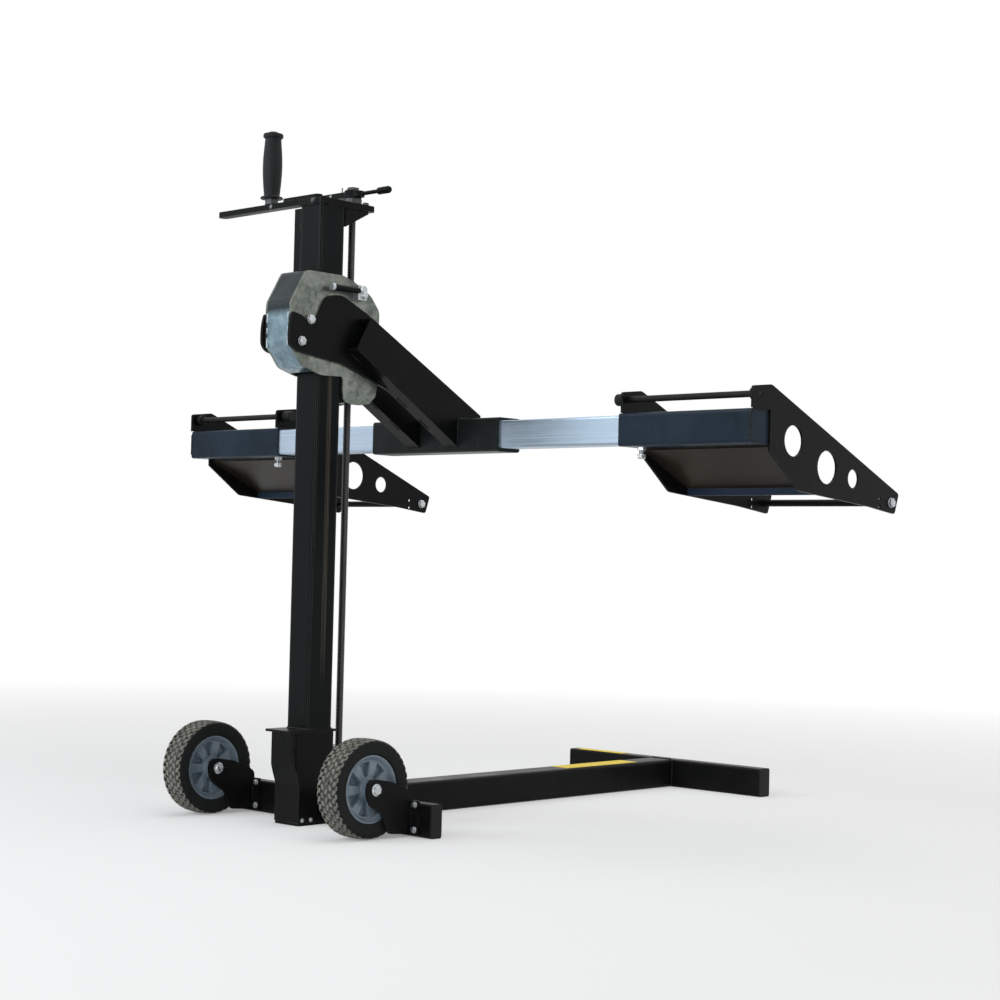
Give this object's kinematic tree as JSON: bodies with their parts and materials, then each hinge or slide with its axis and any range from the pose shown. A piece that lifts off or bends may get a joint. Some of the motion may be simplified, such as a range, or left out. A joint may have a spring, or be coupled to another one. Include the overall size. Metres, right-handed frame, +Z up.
{
  "type": "lawn mower lift",
  "caption": "Free-standing screw lift for a riding mower: a mast on a wheeled base, a crank-driven carriage and a cross bar with two sliding wheel pans.",
  "frame": {"origin": "on the floor under the mast's centre, on the base plate's underside", "axes": "+Z up, +X along the cross bar to the right-hand pan, +Y forward along the base leg"},
  "size_m": [1.8032, 1.423, 1.5378],
  "materials": {
    "black_paint": "satin black powder coat",
    "zinc_plate": "zinc plated, slightly clouded",
    "bar_steel": "bright plated tube",
    "dark_steel": "oiled dark steel",
    "bright_steel": "bright zinc fasteners",
    "tyre_rubber": "matte moulded rubber",
    "rim_plastic": "grey moulded plastic",
    "grip_plastic": "satin black moulded plastic",
    "roller_plastic": "black nylon",
    "cap_plastic": "black moulded plastic"
  },
  "bodies": {
    "base": {"mast_tube": "black_paint", "stop_bar": "black_paint", "base_socket": "black_paint", "socket_collar": "black_paint", "base_plate": "black_paint", "base_leg": "black_paint", "front_foot": "black_paint", "foot_cap_left": "cap_plastic", "foot_cap_right": "cap_plastic", "rear_tube_left": "black_paint", "rear_tube_right": "black_paint", "rear_cap_left": "cap_plastic", "rear_cap_right": "cap_plastic", "wheel_fork_left": "black_paint", "wheel_fork_right": "black_paint", "wheel_axle_left": "bright_steel", "wheel_axle_right": "bright_steel", "top_bracket": "black_paint", "top_bearing": "dark_steel", "screw_foot_bearing": "zinc_plate"},
    "wheel_left": {"wheel_tyre_left": "tyre_rubber", "wheel_rim_left": "rim_plastic"},
    "wheel_right": {"wheel_tyre_right": "tyre_rubber", "wheel_rim_right": "rim_plastic"},
    "crank": {"lead_screw": "dark_steel", "crank_arm": "black_paint", "crank_nut": "bright_steel", "grip_stud": "bright_steel"},
    "grip": {"crank_grip": "grip_plastic"},
    "carriage": {"side_plate_left": "zinc_plate", "side_plate_right": "zinc_plate", "rear_web": "zinc_plate", "drive_nut": "zinc_plate", "rear_roller_axle": "bright_steel", "front_roller_axle": "bright_steel", "hook_plate_left": "black_paint", "hook_plate_right": "black_paint", "arm_left": "black_paint", "arm_right": "black_paint", "arm_pivot_bolt": "bright_steel", "arm_hook_bolt": "bright_steel", "retaining_pin": "bright_steel", "inner_tube": "bar_steel", "centre_sleeve": "black_paint"},
    "roller_rear": {"rear_roller": "roller_plastic"},
    "roller_front": {"front_roller": "roller_plastic"},
    "pan_left": {"outer_sleeve_left": "black_paint", "lock_bolt_left": "bright_steel", "pan_plate_inner_left": "black_paint", "pan_plate_outer_left": "black_paint", "pan_ramp_left": "black_paint", "tip_rod_left": "bright_steel", "stop_rod_left": "black_paint"},
    "pan_right": {"outer_sleeve_right": "black_paint", "lock_bolt_right": "bright_steel", "pan_plate_inner_right": "black_paint", "pan_plate_outer_right": "black_paint", "pan_ramp_right": "black_paint", "tip_rod_right": "bright_steel", "stop_rod_right": "black_paint"}
  },
  "joints": [
    {"name": "wheel_left_spin", "type": "hinge", "parent": "base", "child": "wheel_left", "pos_m": [-0.252, -0.073, 0.1016], "axis": [1, 0, 0], "continuous": true},
    {"name": "wheel_right_spin", "type": "hinge", "parent": "base", "child": "wheel_right", "pos_m": [0.252, -0.073, 0.1016], "axis": [1, 0, 0], "continuous": true},
    {"name": "crank_turn", "type": "hinge", "parent": "base", "child": "crank", "pos_m": [0, 0.086, 1.36], "axis": [0, 0, 1], "range_deg": [0, 47520]},
    {"name": "grip_spin", "type": "hinge", "parent": "crank", "child": "grip", "pos_m": [-0.275, 0.086, 1.45], "axis": [0, 0, 1], "continuous": true},
    {"name": "carriage_lift", "type": "slide", "parent": "base", "child": "carriage", "axis": [0, 0, 1], "range_m": [-0.671, 0]},
    {"name": "rear_roller_spin", "type": "hinge", "parent": "carriage", "child": "roller_rear", "pos_m": [0, -0.0593, 1.13], "axis": [1, 0, 0], "continuous": true},
    {"name": "front_roller_spin", "type": "hinge", "parent": "carriage", "child": "roller_front", "pos_m": [0, 0.0533, 0.985], "axis": [1, 0, 0], "continuous": true},
    {"name": "pan_left_slide", "type": "slide", "parent": "carriage", "child": "pan_left", "axis": [1, 0, 0], "range_m": [-0.06, 0.17]},
    {"name": "pan_right_slide", "type": "slide", "parent": "carriage", "child": "pan_right", "axis": [1, 0, 0], "range_m": [-0.17, 0.06]}
  ],
  "couplings": [
    {"joint": "carriage_lift", "follows": "crank_turn", "m_per_rad": -0.00080851},
    {"joint": "rear_roller_spin", "follows": "crank_turn", "ratio": 0.033688},
    {"joint": "front_roller_spin", "follows": "crank_turn", "ratio": -0.044917}
  ]
}
